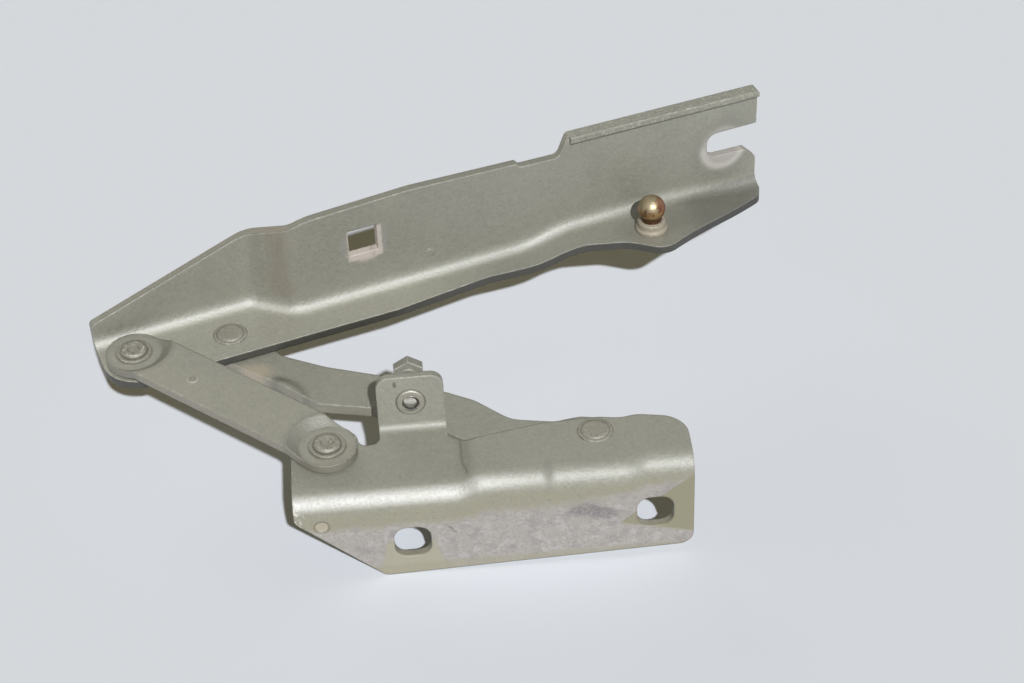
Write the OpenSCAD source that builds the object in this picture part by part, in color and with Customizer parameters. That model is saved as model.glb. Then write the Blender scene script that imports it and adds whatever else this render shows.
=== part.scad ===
// Car bonnet hinge: a body bracket and a bonnet arm of folded sheet, carried on two riveted links.
// Sizes are measured from the front body pivot, at the top of the bracket's flange: X runs along the
// bracket, Y away from the fixing face and Z along the pivots. The finished part is then moved so that
// its origin lies on the fixing face, midway between the two fixing holes.

/* [Sheet and plates] */
// Thickness of the bracket and arm sheet
sheet = 3; // [2.6:0.1:3.4]
// Inside radius of the bracket's long bend
bend_r = 4; // [3:0.25:5]
// Thickness of the front link
front_t = 3.2; // [2.8:0.1:3.8]
// Thickness of the rear link
rear_t = 4; // [3.4:0.1:4.6]

/* [Pivots] */
// Distance between the front link's pivots
front_len = 87.2; // [84:0.2:90]
// Direction of the front link from the body pivot
front_angle = 139.2; // [137:0.2:141]
// Rear body pivot, along the bracket
rear_pivot_x = 89; // [86:0.5:92]
// Rear body pivot, across the bracket
rear_pivot_y = -2.3; // [-4:0.1:-1]
// Direction of the arm
arm_angle = 17.5; // [16.5:0.1:18.5]
// Distance between the arm's pivots
arm_pivot_gap = 34.6; // [33:0.2:36]
// Shank radius of the rivets
rivet_r = 4; // [3.4:0.1:4.4]
// Shank radius of the rivet in the open pivot of the loop
loop_rivet_r = 3.5; // [3:0.1:3.8]
// Radial running clearance of a link on its rivet
running = 0.05; // [0.03:0.01:0.08]
// Radial clearance in the open pivot of the loop
loop_clear = 4; // [3.8:0.1:4.2]
// Face gap between pieces that turn on each other
face_gap = 0.1; // [0.05:0.05:0.2]
// Thickness of the liner rings between the plates
liner_t = 0.5; // [0.3:0.1:0.8]
// Outside radius of the liner rings
liner_r = 8.5; // [7.5:0.1:9.5]
// Outside radius of the washers under the rivet heads
washer_r = 6.1; // [5.6:0.1:6.8]
// Thickness of the washers
washer_t = 0.7; // [0.5:0.1:1]

/* [Body bracket] */
// Left end of the bracket
bracket_left = -12.4; // [-14:0.2:-11.6]
// Right end of the bracket
bracket_right = 119.5; // [117:0.5:122]
// Distance of the fixing face in front of the pivot
fixing_y = 23; // [21:0.5:25]
// Height of the fixing flange at its left corner
flange_h_left = 35.5; // [33:0.5:38]
// Height of the fixing flange at its right corner
flange_h_right = 32.2; // [30:0.5:34]
// Rise of the flange beside the rear pivot
rear_rise = 3; // [2:0.25:4]
// Further rise of the flange at the right end
end_rise = 2; // [1:0.25:3]
// Width of the fixing holes
fixing_w = 12.3; // [10:0.1:13]
// Height of the fixing holes
fixing_h = 13; // [11:0.1:14]
// Left fixing hole, along the bracket
fixing_left_x = 25.8; // [24:0.2:28]
// Right fixing hole, along the bracket
fixing_right_x = 106.6; // [104:0.2:108]
// Left fixing hole, below the flange
fixing_left_z = -21; // [-23:0.25:-20]
// Right fixing hole, below the flange
fixing_right_z = -16.5; // [-18:0.25:-16]

/* [Stop tab] */
// Left side of the tab
tab_left = 17.4; // [16:0.2:19]
// Width of the tab
tab_w = 22.6; // [20:0.2:25]
// Length of the tab's flat
tab_len = 17.6; // [16:0.2:20]
// Backward lean of the tab
tab_lean = 8; // [4:0.5:10]
// Inside radius of the tab's bend
tab_bend_r = 3; // [2.5:0.25:4]
// Height of the stop screw on the tab's flat
stop_up = 7.7; // [6.5:0.1:9]
// Reach of the stop screw behind the tab's front
stop_reach = 20; // [17:0.25:20.5]
// Size of the stop screw's hexagon across its flats
stop_hex = 10; // [8:0.5:11]
// Thickness of the stop screw's head
stop_head_t = 4; // [3:0.25:5]
// Bore radius of the threaded bush
stop_bore_r = 2.6; // [2.2:0.1:3]

/* [Bonnet arm] */
// Left end of the arm, along it
arm_left = -57; // [-59:0.25:-55]
// Right end of the arm, along it
arm_right = 196.8; // [194:0.5:200]
// Web face of the arm's left part, across it
web_left = 88.1; // [86.5:0.1:89.5]
// Web face of the arm's main part, across it
web_main = 76.9; // [76:0.1:78]
// Start of the sideways set in the web
set_start = -2; // [-4:0.25:0]
// Turn of the sideways set
set_turn = 40; // [35:1:45]
// Radius of the sideways set at the web's face
set_r = 9; // [8:0.25:10]
// Inside radius of the arm's long bend
arm_bend_r = 5; // [4:0.25:5.5]
// Front edge of the arm's flange, across the arm
arm_front = 62.1; // [61:0.1:62.6]
// Height of the web at its left end
web_h_left = 9; // [8:0.1:10]
// Height of the web's main part
web_h = 39.4; // [37:0.2:41]
// Height of the web above its raised right end
web_h_end = 44; // [42.5:0.1:46]
// Rise of the flange under the ball stud
stud_rise = 4; // [3:0.25:5]
// Fall of the flange from there to its right end
end_fall = 3.2; // [2:0.2:4]
// Ball stud, along the arm
stud_s = 147.4; // [145:0.2:150]
// Ball stud, across the arm
stud_n = 62.5; // [61.5:0.1:63.5]
// Radius of the stud's ball
ball_r = 5; // [4:0.25:6.5]
// Height of the ball's centre above the flange
ball_up = 9.4; // [8.6:0.1:11]
// Side of the square hole
square_side = 10.8; // [8:0.1:12]
// Height of the open bolt notch
notch_h = 10.3; // [8:0.1:11.5]
// Depth of the open bolt notch
notch_depth = 20.2; // [16:0.2:23]

/* [Links] */
// Half width and end radius of the front link
front_half = 10; // [9.4:0.1:10.6]
// Rise of the front link between its pivots
front_rise = 2.6; // [1.6:0.1:3.4]
// End radius of the rear link
rear_end_r = 10.5; // [10:0.1:11]

/* [Hidden] */
$fn = 96;

coat = [0.58, 0.58, 0.53];
zinc = [0.68, 0.67, 0.62];
brass = [0.66, 0.5, 0.27];
tall = 120;

bend_out = bend_r + sheet;
front_arm_pivot = front_len * [cos(front_angle), sin(front_angle)];
rear_arm_pivot = front_arm_pivot + arm_pivot_gap * [cos(arm_angle), sin(arm_angle)];
rear_body_pivot = [rear_pivot_x, rear_pivot_y];
fixing_mid = [(fixing_left_x + fixing_right_x) / 2, -fixing_y, (fixing_left_z + fixing_right_z) / 2];

// Levels of the plates along the pivots
front_low = liner_t + face_gap;
front_top = front_low + front_t;
front_head = front_top + washer_t + face_gap;
rear_body_under = rear_rise - sheet;
rear_body_low = rear_body_under - liner_t - face_gap - rear_t;
rear_arm_low = -sheet - liner_t - face_gap - rear_t;

// Tangent of the tab's flat with its bend
tab_bend_y = 7.4;
tab_foot = [tab_bend_y + tab_bend_r * cos(tab_lean), tab_bend_r * (1 - sin(tab_lean))];

// Sideways set of the web: two equal turns joined by a straight
set_offset = web_left - web_main;
set_straight = (set_offset - 2 * set_r * (1 - cos(set_turn))) / sin(set_turn);
set_end = set_start + 2 * set_r * sin(set_turn) + set_straight * cos(set_turn);

function unit(v) = v / norm(v);
function turn_between(a, b) = let (d = b - a) d > 180 ? d - 360 : d < -180 ? d + 360 : d;

// One corner of an outline, rounded to radius r with short steps
function corner_arc(a, b, c, r, steps) =
    r == 0 ? [b] :
    let (u = unit(a - b), v = unit(c - b), half = acos(u * v) / 2,
        centre = b + unit(u + v) * r / sin(half),
        from = b + u * r / tan(half) - centre, to = b + v * r / tan(half) - centre,
        start = atan2(from.y, from.x), sweep = turn_between(start, atan2(to.y, to.x)))
    [for (i = [0 : steps]) centre + r * [cos(start + sweep * i / steps), sin(start + sweep * i / steps)]];

// Outline through corners given as [x, y, radius]
function rounded(corners, steps = 8) =
    let (n = len(corners), flat = [for (p = corners) [p.x, p.y]])
    [for (i = [0 : n - 1])
        each corner_arc(flat[(i + n - 1) % n], flat[i], flat[(i + 1) % n], corners[i].z, steps)];

// Moves the finished part onto its origin
module placed() {
    translate(-fixing_mid) children();
}

// The arm is drawn along X and hangs on its front pivot
arm_pivot_at = [-45.82, 74.19];
module along_arm() {
    at_pivot(front_arm_pivot) rotate([0, 0, arm_angle])
        translate([-arm_pivot_at.x, -arm_pivot_at.y, 0]) children();
}

module at_pivot(p) {
    translate([p.x, p.y, 0]) children();
}

// A section drawn in Y and Z, drawn out along X
module drawn_x(length) {
    rotate([90, 0, 90]) linear_extrude(length) children();
}

// An outline drawn in X and Z, drawn out along Y from y0 to y1
module drawn_y(y0, y1) {
    translate([0, y1, 0]) rotate([90, 0, 0]) linear_extrude(y1 - y0) children();
}

// Steps of a long bend
bend_steps = 12;
function bend_arc(centre, r, from, to) =
    [for (i = [0 : bend_steps])
        let (t = from + (to - from) * i / bend_steps) centre + r * [cos(t), sin(t)]];

// Angle of a path of levels in X and Z, and the lean of its mitre at point i
function level_angle(p, i) = atan2(p[i + 1].y - p[i].y, p[i + 1].x - p[i].x);
function mitre(p, i) =
    i == 0 || i == len(p) - 1 ? 0 : (level_angle(p, i - 1) + level_angle(p, i)) / 2;
function mitre_half(p, i) =
    i == 0 || i == len(p) - 1 ? 0 : (level_angle(p, i) - level_angle(p, i - 1)) / 2;

// Levels of a smooth step in a sheet: two equal arcs
function step_levels(from, length, rise) =
    let (turn = 2 * atan(abs(rise) / length), r = length / (2 * sin(turn)), way = rise < 0 ? -1 : 1, n = 4)
    concat(
        [for (i = [0 : n]) let (t = turn * i / n) from + r * [sin(t), way * (1 - cos(t))]],
        [for (i = [n - 1 : -1 : 0]) let (t = turn * i / n)
            from + [length, rise] - r * [sin(t), way * (1 - cos(t))]]);

// A point of a sheet's section on its path of levels: up from the sheet's face, as [along, level].
// Points far down or up the web stay at their own height.
far = 70;
function on_level(p, i, up) =
    abs(up) >= far ? [p[i].x, up] :
    p[i] + up / cos(mitre_half(p, i)) * [-sin(mitre(p, i)), cos(mitre(p, i))];

// Folded sheet lofted through stations, each the same closed section as points in space
module lofted(stations) {
    n = len(stations[0]);
    last = (len(stations) - 1) * n;
    sides = [for (i = [0 : len(stations) - 2], j = [0 : n - 1])
        [i * n + j, i * n + (j + 1) % n, (i + 1) * n + (j + 1) % n, (i + 1) * n + j]];
    ends = [[for (j = [n - 1 : -1 : 0]) j], [for (j = [0 : n - 1]) last + j]];
    polyhedron([for (s = stations) each s], concat(sides, ends), 4);
}

// Body bracket
function bracket_section() =
    let (c = [bend_out - fixing_y, -bend_out])
    concat([[40, -sheet]], bend_arc(c, bend_r, 90, 180), [[sheet - fixing_y, -far], [-fixing_y, -far]],
        bend_arc(c, bend_out, 180, 90), [[40, 0]]);

module bracket_sheet() {
    levels = concat([[-40, 0]], step_levels([40.3, 0], 10, rear_rise),
        step_levels([95.6, rear_rise], 10, end_rise), [[150, rear_rise + end_rise]]);
    lofted([for (i = [0 : len(levels) - 1])
        [for (q = bracket_section()) let (at = on_level(levels, i, q.y)) [at.x, q.x, at.y]]]);
}

module bracket_plan() {
    rear_back = rear_pivot_y + 6.7;
    polygon(rounded([
        [bracket_left, -40, 0], [bracket_left, 11, 11], [9.5, 11, 5], [10.5, 3, 3],
        [tab_left + 0.2, 3, 3.5], [tab_left + 0.2, tab_bend_y - 0.5, 0],
        [tab_left + tab_w - 2, tab_bend_y - 0.5, 0], [tab_left + tab_w + 4, 1, 1], [47, -1.2, 4],
        [72, rear_back - 0.6, 10], [rear_pivot_x + 2, rear_back, 15],
        [bracket_right, -1.2, 10], [bracket_right, -40, 0]]));
}

module bracket_elevation() {
    polygon(rounded([
        [bracket_left, 20, 0], [bracket_left, -8.5, 4], [16, -flange_h_left, 4],
        [bracket_right, -flange_h_right, 5], [bracket_right, 20, 0]]));
}

module fixing_holes() {
    for (at = [[fixing_left_x, fixing_left_z], [fixing_right_x, fixing_right_z]])
        translate(at)
            polygon(rounded([for (c = [[-1, -1], [1, -1], [1, 1], [-1, 1]])
                [c.x * fixing_w / 2, c.y * fixing_h / 2, 4.5]]));
}

// The tab in section: its root in the flange, its bend and its leaning flat
function tab_section() =
    let (c = [tab_bend_y, tab_bend_r], up = [sin(tab_lean), cos(tab_lean)])
    concat([[0, -sheet]], bend_arc(c, tab_bend_r + sheet, -90, -tab_lean),
        [tab_foot + sheet * [cos(tab_lean), -sin(tab_lean)] + 30 * up, tab_foot + 30 * up],
        bend_arc(c, tab_bend_r, -tab_lean, -90), [[0, 0]]);

module tab() {
    intersection() {
        translate([tab_left - 5, 0, 0]) drawn_x(tab_w + 10) polygon(tab_section());
        on_tab() drawn_y(-40, 40)
            polygon(rounded([[tab_left, -40, 0], [tab_left + tab_w, -40, 0],
                [tab_left + tab_w, tab_len, 4.5], [tab_left, tab_len, 4.5]]));
    }
}

// Frame of the tab's flat: its foot at the bend, its front face at Y = 0
module on_tab() {
    translate([0, tab_foot.x, tab_foot.y]) rotate([-tab_lean, 0, 0]) children();
}

// Axis of the stop screw, with Z pointing back through the tab
module on_stop() {
    on_tab() translate([tab_left + tab_w / 2, 0, stop_up]) rotate([-90, 0, 0]) children();
}

module body_bracket() {
    color(coat) placed() difference() {
        union() {
            intersection() {
                bracket_sheet();
                translate([0, 0, -tall]) linear_extrude(2 * tall) bracket_plan();
                drawn_y(-tall, tall) bracket_elevation();
            }
            tab();
        }
        translate([-3.6, 0.3 - fixing_y, -11.1]) rotate([90, 0, 0]) cylinder(h = 2, r = 2.2);
        drawn_y(-tall / 2, -fixing_y + 2 * sheet) fixing_holes();
        translate([0, 0, -10]) cylinder(h = 20, r = rivet_r);
        translate([0, 0, -sheet]) cylinder(h = sheet / 2, r1 = rivet_r + 1.8, r2 = rivet_r);
        at_pivot(rear_body_pivot) translate([0, 0, -10]) cylinder(h = 20, r = rivet_r);
        on_stop() translate([0, 0, -10]) cylinder(h = 20, r = stop_bore_r + 1.4);
    }
}

// Bonnet arm, drawn along X in its own direction
// Section of the arm, across from the web's face and up from the flange; the flange's front end
// lies far in front and is trimmed to its outline later
flange_far = -60;
function arm_section() =
    let (c = [-arm_bend_r, arm_bend_r], outer = arm_bend_r + sheet)
    concat([[flange_far, 0]], bend_arc(c, arm_bend_r, -90, 0), [[0, far], [sheet, far]],
        bend_arc(c, outer, 0, -90), [[flange_far, -sheet]]);

// Section at a point of the arm's sideways set: at s along it, n across it, turned in plan
function set_station(s, n, turn) =
    [for (q = arm_section())
        let (across = max(q.x, -arm_bend_r))
        [s - across * sin(turn), q.x == flange_far ? web_main + flange_far : n + across * cos(turn), q.y]];

module arm_sheet() {
    first = [set_start, web_left - set_r];
    second = [set_end, web_main + set_r];
    levels = concat([[60, 0]], step_levels([98, 0], 24, stud_rise),
        step_levels([stud_s + 6.6, stud_rise], arm_right - stud_s - 8, -end_fall),
        [[arm_right + 20, stud_rise - end_fall]]);
    lofted(concat(
        [set_station(arm_left - 10, web_left, 0)],
        [for (i = [0 : bend_steps]) let (t = set_turn * i / bend_steps)
            set_station(first.x + set_r * sin(t), first.y + set_r * cos(t), -t)],
        [for (i = [bend_steps : -1 : 0]) let (t = set_turn * i / bend_steps)
            set_station(second.x - set_r * sin(t), second.y - set_r * cos(t), -t)],
        [for (i = [0 : len(levels) - 1])
            [for (q = arm_section()) let (at = on_level(levels, i, q.y)) [at.x, web_main + q.x, at.y]]]));
}

module arm_plan() {
    polygon(rounded([
        [arm_left, 130, 0], [arm_left, arm_front, 13], [48, arm_front, 30],
        [84, arm_front + 3.8, 30], [122, arm_front + 1.3, 12], [136, stud_n - 3.6, 14],
        [stud_s, stud_n - 13.4, 8], [arm_right - 2.4, stud_n + 5.4, 5],
        [arm_right, stud_n + 10, 3], [arm_right, 130, 0]]));
}

module arm_elevation() {
    step_s = 117.5;
    polygon(rounded([
        [arm_left, -20, 0], [arm_right, -20, 0], [arm_right, web_h_end - 1.2, 1],
        [step_s + 3.5, web_h_end, 1.5], [step_s, web_h - 3.7, 3],
        [102.5, web_h - 3.3, 1], [101, web_h - 1.6, 1],
        [60, web_h - 0.2, 60], [20, web_h - 2, 30], [arm_left, web_h_left, 2]]));
}

module notch_outline() {
    low = 17.3;
    root = arm_right - notch_depth;
    polygon(rounded([
        [root, low, 4], [arm_right - 4.3, low - 0.5, 1], [arm_right + 4.3, low - 9.5, 0],
        [arm_right + 4.3, low + notch_h, 0], [root, low + notch_h, 4]]));
}

module lip_outline() {
    lip_t = 2.5;
    polygon([[121.5, web_h_end - lip_t], [arm_right + 5, web_h_end - 1.28 - lip_t],
        [arm_right + 5, web_h_end + 5], [121.5, web_h_end + 5]]);
}

module bonnet_arm() {
    lip_reach = 1.9;
    square_at = [41.4, 22.8];
    color(coat) placed() difference() {
        along_arm() difference() {
            intersection() {
                union() {
                    arm_sheet();
                    drawn_y(web_main - lip_reach, web_main + sheet / 2) lip_outline();
                    translate([66, web_main + 0.5, 9.5]) rotate([90, 0, 0]) cylinder(h = 0.8, r = 1.6);
                }
                translate([0, 0, -tall]) linear_extrude(2 * tall) arm_plan();
                drawn_y(-tall, 2 * tall) arm_elevation();
            }
            drawn_y(web_main - 2 * sheet, web_main + 2 * sheet) {
                notch_outline();
                translate(square_at) square(square_side, center = true);
            }
            translate([stud_s, stud_n, stud_rise - 10]) cylinder(h = 20, r = rivet_r);
        }
        at_pivot(front_arm_pivot) translate([0, 0, -10]) cylinder(h = 20, r = rivet_r);
        at_pivot(rear_arm_pivot) translate([0, 0, -10]) cylinder(h = 20, r = loop_rivet_r);
    }
}

// Pressed plate round a pivot: a flat seat at z = seat, rising to the body at z = body
module dished(seat, body, seat_r, rise_r, thick, reach) {
    rotate_extrude() polygon([
        [0, seat], [seat_r, seat], [rise_r, body], [reach, body],
        [reach, body + thick], [rise_r, body + thick], [seat_r, seat + thick], [0, seat + thick]]);
}

// Half of the front link, from its pivot at the origin along X
module front_half_link() {
    intersection() {
        dished(front_low, front_low + front_rise, front_half - 0.4, front_half + 3.4, front_t, tall);
        translate([0, 0, -tall]) linear_extrude(2 * tall) {
            circle(front_half);
            translate([0, -front_half]) square([front_len / 2, 2 * front_half]);
        }
    }
}

module front_link() {
    pip = [58, 1.6];
    color(coat) placed() rotate([0, 0, front_angle]) difference() {
        union() {
            front_half_link();
            translate([front_len, 0, 0]) mirror([1, 0, 0]) front_half_link();
            translate([pip.x, pip.y, front_top + front_rise - 1]) cylinder(h = 1.3, r = 1.7);
        }
        for (x = [0, front_len])
            translate([x, 0, -10]) cylinder(h = 30, r = rivet_r + running);
    }
}

// Corner of a link's square-cut end, before rounding: outward of p along way, to one side of it
function end_corner(p, way, side, r) =
    let (q = p + rear_end_r * [cos(way) - side * sin(way), sin(way) + side * cos(way)]) [q.x, q.y, r];

module rear_link_plan() {
    d = rear_arm_pivot;
    b = rear_body_pivot;
    polygon(rounded([
        end_corner(d, 138, 1, 9), end_corner(d, 138, -1, 9),
        [d.x + 17.5, d.y - 9.8, 12], [d.x + 33, d.y - 17.9, 20], [d.x + 51, d.y - 24.6, 30],
        [b.x - 47, b.y + 32.6, 20], [b.x - 38.5, b.y + 27.6, 12], [b.x - 27, b.y + 16.4, 12],
        end_corner(b, -11.5, 1, 9.4), end_corner(b, -11.5, -1, 9.4),
        [b.x - 29, b.y - 4.7, 18], [b.x - 55, b.y + 17.8, 20],
        [d.x + 50, d.y - 42, 15], [d.x + 30, d.y - 37.2, 8], [d.x + 16.3, d.y - 24.4, 20]]));
}

module rear_link() {
    color(coat) placed() difference() {
        intersection() {
            at_pivot(rear_body_pivot) dished(rear_body_low, rear_arm_low, 12, 18, rear_t, 2 * tall);
            translate([0, 0, -tall]) linear_extrude(2 * tall) rear_link_plan();
        }
        at_pivot(rear_body_pivot) translate([0, 0, -20]) cylinder(h = 30, r = rivet_r + running);
        at_pivot(rear_arm_pivot) translate([0, 0, -20]) cylinder(h = 30, r = loop_rivet_r + loop_clear);
    }
}

// Rivets: heads with a dimple, formed tails
module dimpled_head(level, r, h) {
    dimple = 1.9;
    translate([0, 0, level]) rotate_extrude() polygon([
        [0, 0], [r, 0], [r, h * 0.55], [r - 0.7, h], [dimple + 0.5, h], [dimple, h - 0.5], [0, h - 0.5]]);
}

module flush_head(level, r) {
    translate([0, 0, level]) rotate_extrude() polygon([
        [0, 0], [r, 0], [r - 0.4, 0.35], [r * 0.76, 0.35], [r * 0.7, 0.75], [r * 0.6, 0.9], [0, 0.9]]);
}

module ring(level, outer, inner, h) {
    translate([0, 0, level]) difference() {
        cylinder(h = h, r = outer);
        translate([0, 0, -1]) cylinder(h = h + 2, r = inner);
    }
}

module shank(low, high, r) {
    translate([0, 0, low]) cylinder(h = high - low, r = r);
}

module front_body_rivet() {
    color(coat) placed() {
        shank(-sheet, front_head, rivet_r);
        translate([0, 0, -sheet]) cylinder(h = sheet / 2, r1 = rivet_r + 1.8, r2 = rivet_r);
        dimpled_head(front_head, rivet_r + 0.7, 1.2);
    }
}

module front_arm_rivet() {
    color(coat) placed() at_pivot(front_arm_pivot) {
        shank(-sheet, front_head, rivet_r);
        mirror([0, 0, 1]) dimpled_head(sheet, rivet_r + 1.8, 1.4);
        dimpled_head(front_head, rivet_r + 0.7, 1.2);
    }
}

module rear_body_rivet() {
    tail = rear_body_low - washer_t - face_gap;
    color(coat) placed() at_pivot(rear_body_pivot) {
        shank(tail, rear_rise, rivet_r);
        flush_head(rear_rise, washer_r);
        mirror([0, 0, 1]) dimpled_head(-tail, rivet_r + 1.8, 1.4);
    }
}

module rear_arm_rivet() {
    tail = rear_arm_low - washer_t - face_gap;
    color(coat) placed() at_pivot(rear_arm_pivot) {
        shank(tail, 0, loop_rivet_r);
        flush_head(0, washer_r);
        mirror([0, 0, 1]) dimpled_head(-tail, loop_rivet_r + 1.8, 1.4);
    }
}

// Liner rings between the plates
module front_body_liner() {
    color(zinc) placed() ring(0, liner_r, rivet_r + running, liner_t);
}

module front_arm_liner() {
    color(zinc) placed() at_pivot(front_arm_pivot) ring(0, liner_r, rivet_r + running, liner_t);
}

module rear_body_liner() {
    color(zinc) placed() at_pivot(rear_body_pivot)
        ring(rear_body_under - liner_t, liner_r, rivet_r + running, liner_t);
}

module rear_arm_liner() {
    color(zinc) placed() at_pivot(rear_arm_pivot)
        ring(-sheet - liner_t, liner_r, loop_rivet_r + running, liner_t);
}

// Washers under the rivet heads and over the rivet tails
module front_body_washer() {
    color(coat) placed() ring(front_top, washer_r, rivet_r + running, washer_t);
}

module front_arm_washer() {
    color(coat) placed() at_pivot(front_arm_pivot) ring(front_top, washer_r, rivet_r + running, washer_t);
}

module rear_body_washer() {
    color(coat) placed() at_pivot(rear_body_pivot)
        ring(rear_body_low - washer_t, liner_r, rivet_r + running, washer_t);
}

module rear_arm_washer() {
    color(coat) placed() at_pivot(rear_arm_pivot)
        ring(rear_arm_low - washer_t - face_gap, loop_rivet_r + 2 * loop_clear, loop_rivet_r, washer_t);
}

// Ball stud for the gas strut, riveted through the raised part of the arm's flange
module ball_stud() {
    collar_r = 5.9;
    collar_h = 4.3;
    neck_r = 3.8;
    color(brass) placed() along_arm() translate([stud_s, stud_n, stud_rise]) {
        shank(-sheet, 0, rivet_r);
        mirror([0, 0, 1]) dimpled_head(sheet, rivet_r + 1.6, 1.2);
        rotate_extrude() polygon([
            [0, 0], [collar_r, 0], [collar_r, 1.3], [collar_r - 0.7, 2], [collar_r - 0.8, collar_h - 0.4],
            [collar_r - 1.3, collar_h],
            [neck_r, collar_h], [neck_r, ball_up], [0, ball_up]]);
        translate([0, 0, ball_up]) sphere(ball_r);
    }
}

// Threaded bush swaged into the tab, and the stop screw in it
module stop_bush() {
    color(zinc) placed() on_stop() difference() {
        union() {
            translate([0, 0, -0.7]) cylinder(h = 0.7, r1 = stop_bore_r + 1.8, r2 = stop_bore_r + 2.5);
            shank(0, sheet, stop_bore_r + 1.4);
            translate([0, 0, sheet]) cylinder(h = 4, r = stop_bore_r + 2);
        }
        translate([0, 0, -5]) cylinder(h = 30, r = stop_bore_r);
    }
}

module stop_screw() {
    recess = 2.2;
    color(coat) placed() on_stop() {
        shank(recess, stop_reach - stop_head_t, stop_bore_r - running);
        translate([0, 0, stop_reach - stop_head_t]) rotate([0, 0, 90])
            cylinder(h = stop_head_t, r = stop_hex / sqrt(3), $fn = 6);
    }
}

body_bracket();
bonnet_arm();
front_link();
rear_link();
front_body_rivet();
rear_body_rivet();
front_arm_rivet();
rear_arm_rivet();
front_body_liner();
rear_body_liner();
front_arm_liner();
rear_arm_liner();
front_body_washer();
front_arm_washer();
rear_body_washer();
rear_arm_washer();
ball_stud();
stop_bush();
stop_screw();
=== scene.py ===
import math

import bpy
from mathutils import Matrix, Vector


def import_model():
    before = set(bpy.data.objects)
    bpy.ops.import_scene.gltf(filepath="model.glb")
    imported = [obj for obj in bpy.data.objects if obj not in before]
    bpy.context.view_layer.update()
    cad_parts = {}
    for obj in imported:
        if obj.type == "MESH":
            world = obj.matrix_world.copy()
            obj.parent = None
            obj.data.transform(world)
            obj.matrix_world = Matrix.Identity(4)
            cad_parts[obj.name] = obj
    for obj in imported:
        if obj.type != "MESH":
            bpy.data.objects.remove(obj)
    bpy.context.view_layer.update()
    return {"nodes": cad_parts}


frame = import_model()
nodes = frame["nodes"]

# The paints work in millimetres from the front body pivot: x along the bracket, y away from the viewer, z up.
# The arm's and the stud's are turned with the arm: x along it, y across it.
PIVOT_MM = (66.2, -23.0, -18.75)
ARM_TURN = math.radians(17.5)
FLOOR_Z = -0.01676

# Pivots in plan: front body, rear body, front arm, rear arm
PIVOTS = ((0.0, 0.0), (89.0, -2.3), (-66.01, 56.98), (-33.01, 67.38))
DIMPLED_PIVOTS = PIVOTS[::2]

# The bracket: the centre and outer radius of its bend, its two steps as (start, end, rise), its fixing holes
# as (x, z) and the half width and half height that their walls lie in
BEND_CENTRE_Y = -16.0
BEND_OUT = 7.0
BRACKET_STEPS = ((40.3, 50.3, 3.0), (95.6, 105.6, 2.0))
FIXING_HOLES = ((25.8, -21.0), (106.6, -16.5))
HOLE_REACH = (6.4, 6.7)
HOLE_MARGIN = 0.3

# Marks on the bracket as (x, z), and the dent in its bend as (x, y)
FLANGE_PIP = (-3.6, -11.1)
TAB_CHIP = (23.7, 17.2)
SMUDGE = (85.45, -14.0)
SCRATCH = (38.4, -16.0)
BEND_DENT = (71.8, -19.4)

# A point of the bush's axis, how it rises along y, and the pitch of the thread in the bush and on the screw
BUSH_AXIS = (28.7, 11.4, 10.2)
BUSH_RISE = 0.14
THREAD_PITCH = 1.0

# The arm: its flange's steps as (start, end, rise), its square hole and notch as (x, z), the centre of the
# painted shade round the stud as (x, y) and the ball's centre along it
FLANGE_STEPS = ((98.0, 122.0, 4.0), (153.0, 190.0, -3.2))
SQUARE_HOLE = (42.0, 21.4)
NOTCH = (183.4, 20.4)
STUD_SHADE = (149.0, 64.5)
BALL_X = 147.4

# The links as (x, y): the front one's pip and brown stain, the rear one's bare patch and hollow
LINK_PIP = (-44.95, 36.69)
BROWN_STAIN = (4.0, -5.0)
BARE_PATCH = (-25.0, 50.0)
HOLLOW = (-20.5, 33.0)
HOLLOW_R = 12.5

# Depths of the bump and the radius that edges are rounded by, in metres
COAT_BUMP = 0.0003
THREAD_BUMP = 0.0004
EDGE_ROUND = 0.0009

# Sockets of a Mix node that mixes colours
MIX_FACTOR, MIX_A, MIX_B, MIX_RESULT = 0, 6, 7, 2


def srgb(r, g, b):
    """A colour given in 8-bit sRGB, as linear RGBA."""
    lin = [((c / 255 + 0.055) / 1.055) ** 2.4 for c in (r, g, b)]
    return (*lin, 1.0)


COAT = srgb(143, 142, 130)
BRACKET_COAT = srgb(150, 149, 137)
LINK_COAT = srgb(150, 149, 136)
RIVET_COAT = srgb(146, 143, 130)
SCREW_COAT = srgb(146, 144, 133)
WORN = srgb(196, 191, 178)
CHIPPED = srgb(222, 218, 208)
CHALK = srgb(167, 161, 156)
OLIVE = srgb(154, 149, 125)
RUST_EDGE = srgb(136, 124, 108)
DARK = srgb(66, 62, 50)
CUT_EDGE_SHADE = srgb(42, 41, 34)
STEEL = srgb(176, 172, 162)
BUSH_STEEL = srgb(166, 163, 150)
BRASS = srgb(166, 134, 90)
FLOOR = srgb(231, 235, 243)
BACKDROP = srgb(216, 219, 223)
SURROUND = (1.0, 0.84, 0.38, 1.0)


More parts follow.
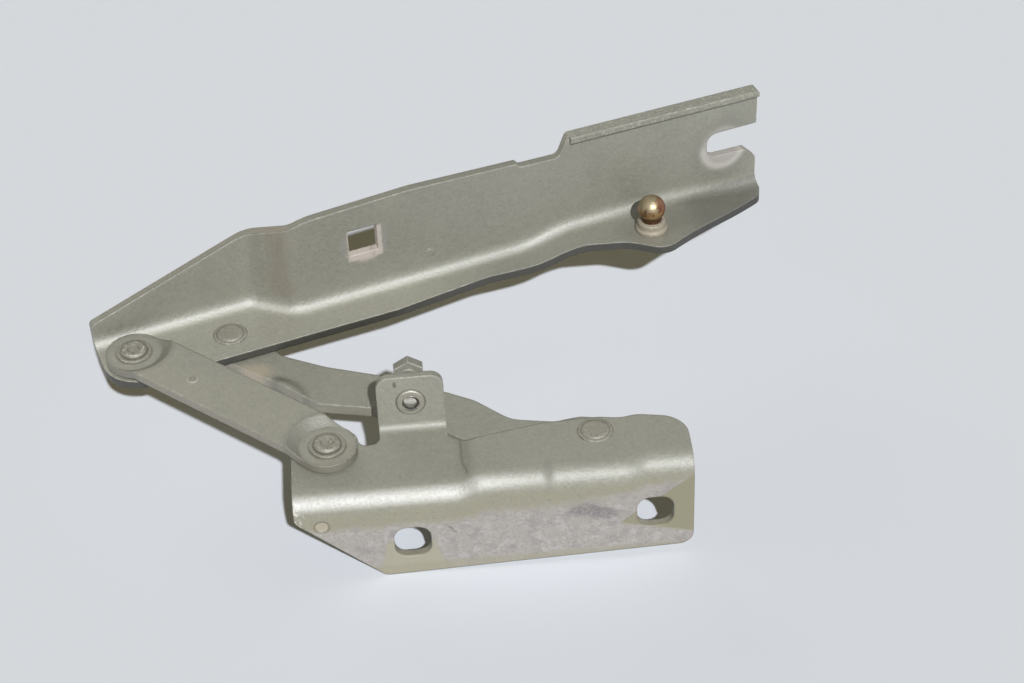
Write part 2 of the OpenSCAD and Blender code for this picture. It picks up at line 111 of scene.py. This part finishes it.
class Sock:
    """One output of a shader node, with arithmetic on it."""

    def __init__(self, tree, out):
        self.tree, self.out = tree, out

    @classmethod
    def node(cls, tree, kind, inputs=None, out=0, **settings):
        """Adds a node, makes its settings, links or sets its inputs and gives one of its outputs."""
        made = tree.nodes.new(kind)
        for key, value in settings.items():
            setattr(made, key, value)
        for key, value in (inputs or {}).items():
            cls.feed(made.inputs[key], value)
        return cls(tree, made.outputs[out])

    @classmethod
    def feed(cls, socket, value):
        """Links an output to a socket, or sets a plain value on it."""
        if isinstance(value, cls):
            value.tree.links.new(value.out, socket)
        else:
            socket.default_value = value

    def math(self, op, a, b=0.0):
        return self.node(self.tree, "ShaderNodeMath", {0: a, 1: b}, operation=op)

    def __add__(self, o):
        return self.math("ADD", self, o)

    def __radd__(self, o):
        return self.math("ADD", o, self)

    def __sub__(self, o):
        return self.math("SUBTRACT", self, o)

    def __rsub__(self, o):
        return self.math("SUBTRACT", o, self)

    def __mul__(self, o):
        return self.math("MULTIPLY", self, o)

    def __rmul__(self, o):
        return self.math("MULTIPLY", o, self)

    def __truediv__(self, o):
        return self.math("DIVIDE", self, o)

    def __rtruediv__(self, o):
        return self.math("DIVIDE", o, self)

    def low(self, o):
        return self.math("MINIMUM", self, o)

    def high(self, o):
        return self.math("MAXIMUM", self, o)

    def size(self):
        return self.math("ABSOLUTE", self)

    def root(self):
        return self.math("SQRT", self)

    def sine(self):
        return self.math("SINE", self)

    def ramp(self, a, b):
        """0 at a, 1 at b, smooth between; a may be above b."""
        if a > b:
            return 1.0 - self.ramp(b, a)
        return self.node(self.tree, "ShaderNodeMapRange", {"Value": self, "From Min": a, "From Max": b},
                         interpolation_type="SMOOTHSTEP")

    def near(self, at, none, full):
        """1 within full of a value, fading to 0 at none away from it."""
        return (self - at).size().ramp(none, full)

    def past_line(self, other, through, slope):
        """How far this is past a slanted line; the line goes through a point (this, other)."""
        return self - through[0] - slope * (other - through[1])

    def axis(self, i):
        return self.node(self.tree, "ShaderNodeSeparateXYZ", {0: self}, out=i)


def spot(a, b, centre, radii):
    """Distance from a centre in two axes, 1 on the ellipse."""
    da, db = (a - centre[0]) / radii[0], (b - centre[1]) / radii[1]
    return (da * da + db * db).root()


def stepped(along, steps):
    """Height of a folded sheet that rises by some steps."""
    return sum(along.ramp(start, end) * rise for start, end, rise in steps)


class Paint:
    """A material being built: its place in millimetres, its colour, roughness and height layers."""

    def __init__(self, name, base, rough=0.44, metal=0.1, turned=False):
        self.mat = bpy.data.materials.new(name)
        self.mat.use_nodes = True
        self.tree = self.mat.node_tree
        self.bsdf = self.tree.nodes["Principled BSDF"]
        self.bsdf.inputs["Specular IOR Level"].default_value = 1.0
        place = self.node("ShaderNodeTexCoord", out="Object")
        place = self.node("ShaderNodeVectorMath", {0: place, "Scale": 1000.0}, operation="SCALE")
        place = self.node("ShaderNodeVectorMath", {0: place, 1: PIVOT_MM}, operation="ADD")
        if turned:
            place = self.node("ShaderNodeVectorRotate", {"Vector": place, "Angle": -ARM_TURN},
                              rotation_type="Z_AXIS")
        self.place = place
        self.x, self.y, self.z = (place.axis(i) for i in range(3))
        flat = self.node("ShaderNodeNewGeometry", out="True Normal")
        self.up = flat.axis(2)
        self.round = self.node("ShaderNodeBevel", {"Radius": EDGE_ROUND}, samples=6)
        turn = self.node("ShaderNodeVectorMath", {0: self.round, 1: flat}, out="Value",
                         operation="DOT_PRODUCT")
        self.edge = (1.0 - turn).ramp(0.015, 0.2)
        self.colour = self.node("ShaderNodeRGB")
        self.colour.out.default_value = base
        self.rough, self.metal, self.height = rough, metal, 0.0

    def node(self, kind, inputs=None, out=0, **settings):
        return Sock.node(self.tree, kind, inputs, out, **settings)

    def noise(self, scale, detail=3.0, rough=0.55, seed=0.0, stretch=None):
        at = self.place
        if stretch:
            at = self.node("ShaderNodeVectorMath", {0: at, 1: stretch}, operation="MULTIPLY")
        return self.node("ShaderNodeTexNoise", {"Vector": at, "W": seed, "Scale": scale, "Detail": detail,
                                                "Roughness": rough}, noise_dimensions="4D")

    def cells(self, scale):
        """Distance from the nearest of some scattered points."""
        return self.node("ShaderNodeTexVoronoi", {"Vector": self.place, "Scale": scale}, out="Distance")

    def tint(self, colour, mask):
        """Lays a colour over what is there, by a mask."""
        self.colour = self.node("ShaderNodeMix", {MIX_FACTOR: mask, MIX_A: self.colour, MIX_B: colour},
                                out=MIX_RESULT, data_type="RGBA")

    def shade(self, factor):
        """Multiplies the colour by a value."""
        self.colour = self.node("ShaderNodeVectorMath", {0: self.colour, "Scale": factor}, operation="SCALE")

    def blend(self, name, value, mask):
        """Moves the roughness or the metal towards a value, by a mask."""
        old = getattr(self, name)
        setattr(self, name, old + (value - old) * mask)

    def from_pivot(self, places):
        """Distance in plan from the nearest of some pivots."""
        first, *others = (spot(self.x, self.y, place, (1.0, 1.0)) for place in places)
        nearest = first
        for other in others:
            nearest = nearest.low(other)
        return nearest

    def close(self, bump=COAT_BUMP):
        """Feeds the layers to the shader and gives the material."""
        normal = self.node("ShaderNodeBump", {"Strength": 1.0, "Distance": bump, "Height": self.height,
                                              "Normal": self.round})
        layers = {
            "Base Color": self.colour,
            "Roughness": self.rough,
            "Metallic": self.metal,
            "Normal": normal,
        }
        for name, value in layers.items():
            Sock.feed(self.bsdf.inputs[name], value)
        return self.mat


def coated(name, base=COAT, turned=False, wear=1.0):
    """Satin primer coat on steel sheet: clouded, finely grained, worn bright along its edges."""
    coat = Paint(name, base, turned=turned)
    cloud = coat.noise(0.05)
    mottle = coat.noise(0.4, 4.0, seed=3.0)
    grain = coat.noise(0.95, 4.0, rough=0.75, seed=7.0)
    coat.shade(1.0 + 0.16 * (cloud - 0.5) + 0.2 * (mottle - 0.5) + 0.62 * (grain - 0.5))
    coat.rough = coat.rough + 0.12 * (mottle - 0.5) + 0.36 * (grain - 0.5)
    coat.height = coat.height + 0.8 * grain + 0.35 * mottle
    # fine dust and specks
    dust = coat.cells(0.55).ramp(0.10, 0.05) * coat.noise(0.11, 2.0, seed=11.0).ramp(0.5, 0.64)
    coat.tint(WORN, 0.6 * dust)
    specks = coat.cells(0.8).ramp(0.085, 0.04) * coat.noise(0.13, 2.0, seed=15.0).ramp(0.55, 0.67)
    coat.tint(DARK, 0.5 * specks)
    # worn edges with bright chips
    rubbed_and_lit = coat.edge * coat.noise(0.55, 4.0, rough=0.7, seed=19.0).ramp(0.40, 0.62) * wear
    coat.tint(WORN, 0.75 * rubbed_and_lit)
    chips = coat.edge * coat.noise(0.35, 4.0, rough=0.75, seed=21.0).ramp(0.54, 0.6) * wear
    coat.tint(CHIPPED, 0.85 * chips)
    coat.blend("rough", 0.5, 0.5 * rubbed_and_lit)
    return coat


def bend_highlight_and_wear(coat, below, ragged, fine):
    """Painted highlight along the bend, most on the left, a yellowed band under it and white chips at its
    left end.
    """
    # painted highlight along the middle of the bend, strongest on the left
    bend = 2.0 * ((BEND_CENTRE_Y - coat.y) / BEND_OUT).high(0.0) * (1.0 + below / BEND_OUT).high(0.0)
    left = 0.05 + 0.6 * coat.x.ramp(75.0, 35.0)
    coat.tint(srgb(208, 207, 200), bend.ramp(0.45, 1.0) * left * (1.0 + 1.6 * (fine - 0.5)))
    band = coat.y.ramp(-18.5, -22.6) * below.ramp(-2.8, -8.0)
    coat.tint(srgb(158, 150, 122), 0.55 * band * (0.9 + 0.9 * ragged))
    coat.tint(srgb(118, 104, 82), 0.5 * band * fine.ramp(0.56, 0.68))
    end = coat.x.ramp(-7.5, -11.5) * below.ramp(-17.0, -14.0) * below.ramp(0.5, -2.0)
    coat.tint(srgb(224, 221, 212), 0.85 * end * coat.noise(0.7, rough=0.7, seed=37.0).ramp(0.52, 0.58))


def panel_print(coat, below, face, ragged, fine):
    """Chalky print of the panel behind the flange, with two clean corners, a smudge and a scratch."""
    x, z = coat.x, coat.z
    # a clean corner below the left hole, and one between two slanted lines by the right hole
    right_of = x.past_line(z, (17.5, -21.0), 0.22)
    left_of = x.past_line(z, (33.0, -21.0), -0.28)
    clean_left = right_of.ramp(-0.8, 0.5) * left_of.ramp(0.8, -0.5) * z.ramp(-19.5, -21.0)
    below_line = z.past_line(x, (-7.0, 112.0), 0.77)
    above_line = z.past_line(x, (-20.0, 93.0), -0.26)
    clean_right = below_line.ramp(0.8, -0.6) * above_line.ramp(-0.6, 0.8) * x.ramp(94.0, 97.0)
    top = -13.2 + 4.6 * x.ramp(70.0, 117.0)
    chalk = (below - top + 5.0 * ragged).ramp(2.4, -2.4) * face * (1.0 - (clean_left + clean_right).low(1.0))
    coat.tint(CHALK, 0.85 * chalk)
    streak = coat.noise(0.16, seed=31.0, stretch=(1.0, 1.0, 1.6))
    cloud = coat.noise(0.3, 4.0, rough=0.7, seed=35.0)
    pits = coat.noise(1.9, rough=0.7, seed=33.0)
    mottles = (
        (srgb(186, 181, 177), 0.6 * fine.ramp(0.53, 0.66)),
        (srgb(138, 129, 126), 0.6 * fine.ramp(0.48, 0.36)),
        (srgb(146, 139, 138), 0.6 * streak.ramp(0.5, 0.66)),
        (srgb(188, 184, 182), 0.5 * cloud.ramp(0.52, 0.64)),
        (srgb(126, 110, 96), 0.45 * pits.ramp(0.6, 0.7)),
    )
    for colour, share in mottles:
        coat.tint(colour, share * chalk)
    lean = x.past_line(z, SMUDGE, -1.1)
    smudge = spot(lean, z, (0.0, SMUDGE[1]), (9.5, 5.0)) + 1.6 * ragged + 0.5 * (fine - 0.5)
    coat.tint(srgb(116, 111, 111), 0.85 * chalk * smudge.ramp(1.1, 0.5) * fine.ramp(0.36, 0.56))
    scratch = x.past_line(z, SCRATCH, -0.76).size() + 2.4 * (fine - 0.5)
    scratched = scratch.ramp(0.9, 0.2) * z.ramp(-19.2, -17.8) * z.ramp(-13.6, -14.8)
    coat.tint(srgb(100, 96, 92), 0.6 * chalk * scratched)
    coat.tint(srgb(170, 164, 145), 0.8 * clean_left * face)
    coat.tint(srgb(143, 138, 111), 0.8 * clean_right * face)
    # olive along the bottom, with painted contact shadow along the lower edge
    coat.tint(OLIVE, 0.65 * face * (z + 3.0 * ragged).ramp(-29.6, -32.6))
    coat.tint(DARK, 0.75 * face * coat.edge * z.ramp(-30.5, -32.0))
    coat.blend("rough", 0.62, 0.85 * chalk)
    coat.blend("metal", 0.03, 0.85 * chalk)
    coat.height = coat.height + 0.8 * chalk * fine


def hole_shade(coat):
    """Dark upper walls of the fixing holes."""
    for hole_x, hole_z in FIXING_HOLES:
        across = coat.x.near(hole_x, HOLE_REACH[0] + HOLE_MARGIN, HOLE_REACH[0])
        upright = coat.z.near(hole_z, HOLE_REACH[1] + HOLE_MARGIN, HOLE_REACH[1])
        wall = across * upright * coat.y.ramp(-22.7, -22.3) * coat.z.ramp(hole_z - 3.0, hole_z - 1.0)
        coat.tint(srgb(44, 42, 34), 0.9 * wall)


def bracket_marks(coat, below, face, ragged, fine):
    """Painted shade for a dent in the bend and along the crease of the step, a chip on the tab and the pale
    pip on the flange.
    """
    # painted shade where the bend is dented, with a rougher coat
    dent = spot(coat.x, coat.y, BEND_DENT, (2.4, 4.6)) + 0.7 * ragged
    dent_shade = below.ramp(-8.0, -6.0) * dent.ramp(1.2, 0.2)
    coat.shade(1.0 - 0.22 * dent_shade)
    coat.blend("rough", 0.75, 0.8 * dent_shade)
    # painted shade along the crease of the step
    crease = (coat.x - 44.0 - 1.4 * coat.y.ramp(-9.0, -17.0)).size() + (fine - 0.5)
    coat.tint(DARK, 0.36 * crease.ramp(0.7, 0.1) * coat.y.ramp(-18.5, -15.0) * coat.y.ramp(3.0, -1.0))
    chip = spot(coat.x, coat.z, TAB_CHIP, (0.7, 1.5)) + 1.4 * (fine - 0.5)
    coat.tint(DARK, 0.7 * chip.ramp(1.0, 0.5) * coat.y.ramp(8.0, 9.0))
    pip = spot(coat.x, coat.z, FLANGE_PIP, (2.2, 2.2)) + 0.3 * (fine - 0.5)
    coat.tint(srgb(196, 184, 158), 0.45 * face * pip.ramp(1.0, 0.8))
    coat.tint(srgb(208, 202, 186), 0.5 * face * pip.near(0.85, 0.25, 0.05) * fine.ramp(0.4, 0.55))
    coat.tint(srgb(116, 102, 76), 0.5 * face * pip.near(1.15, 0.3, 0.08))


def bracket_paint():
    """The bracket's coat, with a painted highlight and wear on the bend, printed on the fixing flange, and
    with painted shade in its holes, its dent and its crease.
    """
    coat = coated("bracket coat", BRACKET_COAT)
    below = coat.z - stepped(coat.x, BRACKET_STEPS)
    face = coat.y.ramp(-22.0, -22.8) * below.ramp(-5.2, -6.6)
    ragged = coat.noise(0.22, 4.0, seed=23.0) - 0.5
    fine = coat.noise(1.1, 4.0, rough=0.7, seed=27.0)
    bend_highlight_and_wear(coat, below, ragged, fine)
    panel_print(coat, below, face, ragged, fine)
    hole_shade(coat)
    bracket_marks(coat, below, face, ragged, fine)
    return coat.close()


def arm_light_and_wear(coat, on_web, broad, fine):
    """Painted highlight along the bend's root, painted shade on the cut edges, painted light on the flange's
    top at the left and painted shade on its falling right end.
    """
    over = coat.z - stepped(coat.x, FLANGE_STEPS)
    # painted highlight along the root of the bend
    root = over.ramp(0.1, 0.7) * over.ramp(2.6, 1.4) * coat.x.ramp(150.0, 125.0)
    coat.tint(srgb(196, 195, 187), 0.34 * root * (1.0 + 1.4 * (fine - 0.5)))
    # painted shade on the flange's cut edges
    coat.tint(CUT_EDGE_SHADE, 0.9 * coat.up.size().ramp(0.5, 0.2) * over.ramp(0.5, -0.1))
    # painted light on the flange's top at the left, painted shade on its falling right end
    rubbed_and_lit = coat.z.ramp(3.5, 1.0) * coat.up.ramp(0.5, 0.9) * coat.x.ramp(95.0, 55.0)
    tilt_shade = coat.z.ramp(5.0, 3.0) * coat.x.ramp(148.0, 170.0)
    coat.shade(1.0 + 0.3 * rubbed_and_lit - 0.4 * tilt_shade)
    top = coat.up.ramp(0.5, 0.9) * coat.z.ramp(9.0, 11.0) * coat.z.ramp(41.0, 40.0)
    coat.tint(srgb(104, 102, 86), 0.6 * top * (0.8 + 0.8 * (fine - 0.5)))
    stain = (coat.x - 11.0 + 8.0 * (broad - 0.5)).size().ramp(6.0, 1.0)
    coat.tint(srgb(140, 122, 104), 0.28 * stain * on_web)


def bolt_print(coat, on_web, broad, fine):
    """Bare print of a bolt head round the square hole, palest just below it, with a chipped rim."""
    ring = spot(coat.x, coat.z, SQUARE_HOLE, (9.8, 9.4)) + 0.6 * (broad - 0.5) + 0.3 * (fine - 0.5)
    bare = ring.ramp(1.0, 0.86) * on_web
    coat.tint(srgb(150, 146, 143), 0.45 * bare)
    lower = (coat.z + 3.0 * (fine - 0.5)).ramp(18.2, 16.8) * ring.ramp(0.92, 0.74)
    coat.tint(srgb(198, 187, 176), 0.85 * bare * lower)
    coat.tint(srgb(118, 110, 102), 0.4 * bare * fine.ramp(0.48, 0.34))
    rim = (coat.x - SQUARE_HOLE[0]).size().high((coat.z - SQUARE_HOLE[1]).size()) + 2.2 * (fine - 0.5)
    coat.tint(srgb(204, 194, 184), 0.8 * rim.ramp(6.9, 6.0) * on_web * broad.ramp(0.36, 0.5))
    return bare


def washer_print(coat, on_web, fine):
    """Print of a washer round the notch, with a paler rim and a darker halo."""
    washer = spot(coat.x, coat.z, NOTCH, (10.0, 10.0)) + 0.14 * (fine - 0.5)
    mark = washer.ramp(1.1, 0.86) * on_web * (0.45 + 0.55 * coat.z.ramp(25.0, 19.0))
    coat.tint(srgb(176, 171, 165), 0.85 * mark)
    coat.tint(srgb(200, 194, 187), 0.5 * mark * washer.near(0.8, 0.16, 0.04))
    coat.shade(1.0 - 0.1 * washer.ramp(1.8, 1.0) * on_web * (1.0 - mark))
    return mark


def arm_paint():
    """The arm's coat, with painted highlight and shade, the prints of a bolt and a washer on its web and
    painted shade round the stud.
    """
    coat = coated("arm coat", turned=True)
    fine = coat.noise(1.1, 4.0, rough=0.7, seed=41.0)
    broad = coat.noise(0.12, seed=43.0)
    streak = coat.noise(0.10, seed=47.0, stretch=(1.0, 1.0, 0.22))
    on_web = coat.z.ramp(4.0, 8.0)
    coat.shade(1.0 + 0.14 * on_web * (streak - 0.5))
    arm_light_and_wear(coat, on_web, broad, fine)
    bare = bolt_print(coat, on_web, broad, fine)
    mark = washer_print(coat, on_web, fine)
    coat.blend("rough", 0.55, 0.6 * (bare + mark).low(1.0))
    # the lip's speckled edge
    lip = coat.z.ramp(40.2, 41.0)
    coat.tint(srgb(204, 203, 186), 0.55 * lip * fine.ramp(0.54, 0.64))
    coat.tint(srgb(112, 111, 94), 0.5 * lip * fine.ramp(0.46, 0.36))
    # painted shade on the flange round the stud
    stud_shade = spot(coat.x, coat.y, STUD_SHADE, (15.0, 9.0)) + 0.8 * (broad - 0.5)
    coat.tint(srgb(112, 107, 96), 0.4 * stud_shade.ramp(1.2, 0.5) * coat.z.ramp(7.0, 4.6))
    return coat.close()


def link_coat(name):
    """The links' coat, browned on the cut edges, and the fine noise of their marks."""
    coat = coated(name, LINK_COAT)
    fine = coat.noise(1.1, 4.0, rough=0.7, seed=51.0)
    side = coat.up.size().ramp(0.6, 0.3)
    coat.tint(RUST_EDGE, 0.55 * side * (0.6 + 0.8 * (fine - 0.5)))
    return coat, fine


def front_link_paint():
    """The front link's coat, with a brown stain, painted shade on the dished slopes and at the washers'
    edges, pale rings round the rivets and a pale-rimmed pip.
    """
    coat, fine = link_coat("front link coat")
    brown = spot(coat.x, coat.y, BROWN_STAIN, (10.0, 8.0)).ramp(1.2, 0.4)
    coat.tint(srgb(142, 128, 112), 0.35 * brown * coat.noise(0.14, seed=53.0).ramp(0.35, 0.6))
    reach = coat.from_pivot(PIVOTS)
    # painted shade on the dished slopes round the pivots
    coat.shade(1.0 - 0.2 * reach.ramp(8.5, 10.0) * reach.ramp(16.0, 13.0))
    # painted shade in the crevice at the washers' edges
    coat.tint(DARK, 0.3 * reach.near(6.3, 0.45, 0.1))
    pip = spot(coat.x, coat.y, LINK_PIP, (1.7, 1.7))
    coat.tint(WORN, 0.6 * pip.near(1.0, 0.3, 0.05) * fine.ramp(0.36, 0.5))
    coat.tint(DARK, 0.35 * pip.near(0.5, 0.3, 0.1))
    coat.tint(WORN, 0.25 * reach.near(7.4, 0.5, 0.1) * fine.ramp(0.45, 0.6))
    return coat.close()


def rear_link_paint():
    """The rear link's coat, with a bare patch beside the arm and a bump with painted shade along the pressed
    edge of its hollow.
    """
    coat, fine = link_coat("rear link coat")
    patch = spot(coat.x, coat.y, BARE_PATCH, (8.0, 5.5)) + 1.1 * (fine - 0.5)
    coat.tint(srgb(190, 176, 154), 0.6 * patch.ramp(1.1, 0.4))
    outside = (spot(coat.x, coat.y, HOLLOW, (HOLLOW_R, HOLLOW_R)) - 1.0) * HOLLOW_R
    # painted shade and a bump along the pressed edge of the hollow
    right = coat.x.ramp(-20.0, -16.0) * coat.y.ramp(28.0, 33.0)
    coat.shade(1.0 - 0.22 * right * outside.ramp(-1.0, 0.6) * outside.ramp(3.6, 0.8))
    coat.height = coat.height + 3.0 * right * outside.ramp(1.6, -1.6)
    return coat.close()


def rivet_paint():
    """Rivets and washers, with hammered tops on the two dimpled heads and painted shade at the heads' edges
    and round the dimples.
    """
    coat = coated("rivet coat", RIVET_COAT, wear=1.1)
    fine = coat.noise(1.6, 4.0, rough=0.7, seed=61.0)
    coat.tint(srgb(172, 165, 150), 0.35 * fine.ramp(0.5, 0.7))
    coat.tint(srgb(84, 76, 60), 0.6 * fine.ramp(0.46, 0.34))
    reach = coat.from_pivot(PIVOTS)
    dimple = coat.from_pivot(DIMPLED_PIVOTS)
    head = dimple.ramp(4.6, 3.6)
    hammered = coat.noise(0.75, rough=0.7, seed=63.0)
    coat.tint(srgb(212, 206, 194), 0.7 * head * hammered.ramp(0.57, 0.64))
    coat.tint(srgb(70, 63, 50), 0.5 * head * hammered.ramp(0.43, 0.36))
    coat.height = coat.height + 2.0 * head * hammered
    # painted shade in the crevice at the heads' edges and round the dimples
    coat.tint(DARK, 0.35 * reach.near(4.85, 0.4, 0.1))
    coat.tint(DARK, 0.35 * dimple.near(2.0, 0.4, 0.1))
    return coat.close()


def liner_paint():
    """Bare steel of the liner rings, with dull brown pits."""
    steel = Paint("bare steel", STEEL, rough=0.36, metal=0.9)
    fine = steel.noise(1.4, 4.0, rough=0.65, seed=71.0)
    steel.shade(1.0 + 0.5 * (fine - 0.5))
    steel.rough = steel.rough + 0.3 * (fine - 0.5)
    steel.tint(srgb(104, 92, 74), 0.5 * fine.ramp(0.46, 0.32))
    steel.height = steel.height + fine
    return steel.close()


def thread_wave(paint, start):
    """A wave of one thread pitch along y."""
    return ((paint.y - start) * (2.0 * math.pi / THREAD_PITCH)).sine()


def bush_paint():
    """The bush's pale rim and threaded bore with painted shade; its axis leans with the tab."""
    steel = Paint("bush", BUSH_STEEL, rough=0.38, metal=0.6)
    fine = steel.noise(1.4, 4.0, rough=0.65, seed=73.0)
    steel.shade(1.0 + 0.4 * (fine - 0.5))
    axis_x, axis_y, axis_z = BUSH_AXIS
    level = steel.z - BUSH_RISE * (steel.y - axis_y)
    bore = spot(steel.x, level, (axis_x, axis_z), (1.0, 1.0)).ramp(2.9, 2.65)
    # painted shade in the bore
    steel.tint(srgb(52, 49, 44), 0.85 * bore)
    steel.height = steel.height + 0.5 * fine + 2.0 * bore * thread_wave(steel, 9.0)
    steel.tint(srgb(206, 202, 192), 0.6 * steel.edge)
    return steel.close(THREAD_BUMP)


def stud_paint():
    """Tarnished brass ball: greyed top, copper on one side, stains, a painted reflection of dark surroundings
    as a band above a matt collar.
    """
    brass = Paint("stud brass", BRASS, rough=0.4, metal=0.85, turned=True)
    fine = brass.noise(0.9, 4.0, rough=0.65, seed=81.0)
    broad = brass.noise(0.25, seed=83.0)
    brass.shade(1.0 + 0.4 * (fine - 0.5))
    brass.tint(srgb(166, 155, 128), 0.8 * (brass.z + 3.0 * (broad - 0.5)).ramp(13.6, 15.6))
    brass.tint(srgb(146, 86, 56), 0.75 * (brass.x - BALL_X + 14.0 * (broad - 0.5)).ramp(0.5, 3.0))
    # painted reflection of dark surroundings as a band low on the ball
    brass.tint(srgb(74, 52, 34), 0.85 * (brass.z + 2.0 * (fine - 0.5)).ramp(12.2, 10.6))
    stains = (broad + 0.6 * (fine - 0.5)).ramp(0.54, 0.64) * brass.z.ramp(17.5, 15.5)
    brass.tint(srgb(104, 66, 40), 0.75 * stains)
    collar = brass.z.ramp(8.5, 8.3)
    brass.tint(srgb(168, 159, 141), 0.95 * collar)
    brass.tint(srgb(120, 108, 88), 0.5 * collar * fine.ramp(0.5, 0.36))
    brass.blend("metal", 0.15, 0.95 * collar)
    brass.rough = brass.rough + 0.24 * collar + 0.25 * (fine - 0.5)
    brass.height = brass.height + 0.6 * fine
    return brass.close()


def screw_paint():
    """The stop screw's coat, with its thread on the shank before the head."""
    coat = coated("screw coat", SCREW_COAT, wear=1.3)
    thread = thread_wave(coat, 0.0)
    shank = coat.y.ramp(27.0, 26.2)
    coat.height = coat.height + 1.6 * shank * thread
    coat.tint(srgb(110, 100, 80), 0.5 * shank * thread.ramp(0.0, -0.8))
    return coat.close(THREAD_BUMP)


def dress():
    """Gives every piece its paint."""
    own = {
        "body_bracket": bracket_paint(),
        "bonnet_arm": arm_paint(),
        "front_link": front_link_paint(),
        "rear_link": rear_link_paint(),
        "ball_stud": stud_paint(),
        "stop_bush": bush_paint(),
        "stop_screw": screw_paint(),
    }
    rivet, liner = rivet_paint(), liner_paint()
    for name, obj in nodes.items():
        shared = liner if name.endswith("liner") else rivet
        obj.data.materials.clear()
        obj.data.materials.append(own.get(name, shared))


def floor():
    """A wide pale floor at the bracket's lowest edge."""
    half = 4.0
    mesh = bpy.data.meshes.new("floor")
    mesh.from_pydata([(-half, -half, FLOOR_Z), (half, -half, FLOOR_Z),
                      (half, half, FLOOR_Z), (-half, half, FLOOR_Z)], [], [(0, 1, 2, 3)])
    obj = bpy.data.objects.new("floor", mesh)
    bpy.context.scene.collection.objects.link(obj)
    mat = bpy.data.materials.new("pale floor")
    mat.use_nodes = True
    bsdf = mat.node_tree.nodes["Principled BSDF"]
    bsdf.inputs["Base Color"].default_value = FLOOR
    bsdf.inputs["Roughness"].default_value = 0.7
    bsdf.inputs["Specular IOR Level"].default_value = 0.0
    mesh.materials.append(mat)


def lamp(name, at, energy, angle, colour):
    """An even lamp, shining from a place towards the middle of the hinge."""
    aim = Vector((-0.02, 0.08, 0.02))
    data = bpy.data.lights.new(name, "SUN")
    data.energy = energy
    data.angle = angle
    data.color = colour
    obj = bpy.data.objects.new(name, data)
    obj.location = at
    obj.rotation_euler = (aim - Vector(at)).to_track_quat("-Z", "Y").to_euler()
    bpy.context.scene.collection.objects.link(obj)


def camera():
    """The photograph's camera, found by fitting the hinge's pivots and edges."""
    at = Vector((-0.0351, -0.55607, 0.54556))
    pitch, roll, yaw = (math.radians(a) for a in (39.87, -2.66, 3.14))
    focal_px, photo_px, sensor_mm = 2347.0, 1024.0, 36.0
    ahead = Vector((math.sin(yaw) * math.cos(pitch), math.cos(yaw) * math.cos(pitch), -math.sin(pitch)))
    level = Vector((math.cos(yaw), -math.sin(yaw), 0.0))
    upright = level.cross(ahead)
    right = level * math.cos(roll) + upright * math.sin(roll)
    up = upright * math.cos(roll) - level * math.sin(roll)
    data = bpy.data.cameras.new("camera")
    data.sensor_width = sensor_mm
    data.lens = focal_px * sensor_mm / photo_px
    data.clip_start = 0.01
    obj = bpy.data.objects.new("camera", data)
    obj.matrix_world = Matrix.Translation(at) @ Matrix((right, up, -ahead)).transposed().to_4x4()
    bpy.context.scene.collection.objects.link(obj)
    bpy.context.scene.camera = obj


def world():
    """A dim warm surround that shows as a pale backdrop to the camera and in reflections."""
    made = bpy.data.worlds.new("studio")
    made.use_nodes = True
    tree = made.node_tree
    seen = Sock.node(tree, "ShaderNodeLightPath", out="Is Camera Ray")
    for ray in ("Is Glossy Ray", "Is Transmission Ray"):
        seen = seen.high(Sock.node(tree, "ShaderNodeLightPath", out=ray))
    dim = Sock.node(tree, "ShaderNodeBackground", {"Color": SURROUND, "Strength": 0.1})
    pale = Sock.node(tree, "ShaderNodeBackground", {"Color": BACKDROP, "Strength": 1.0})
    mixed = Sock.node(tree, "ShaderNodeMixShader", {0: seen, 1: dim, 2: pale})
    Sock.feed(tree.nodes["World Output"].inputs["Surface"], mixed)
    bpy.context.scene.world = made


dress()
floor()
camera()
world()
lamp("key", at=(0.24, -1.48, 1.52), energy=3.3, angle=0.025, colour=(0.95, 0.968, 1.0))
lamp("fill", at=(-0.62, 1.44, 0.52), energy=0.39, angle=0.6, colour=(1.0, 0.9, 0.68))
bpy.context.scene.view_settings.view_transform = "Standard"
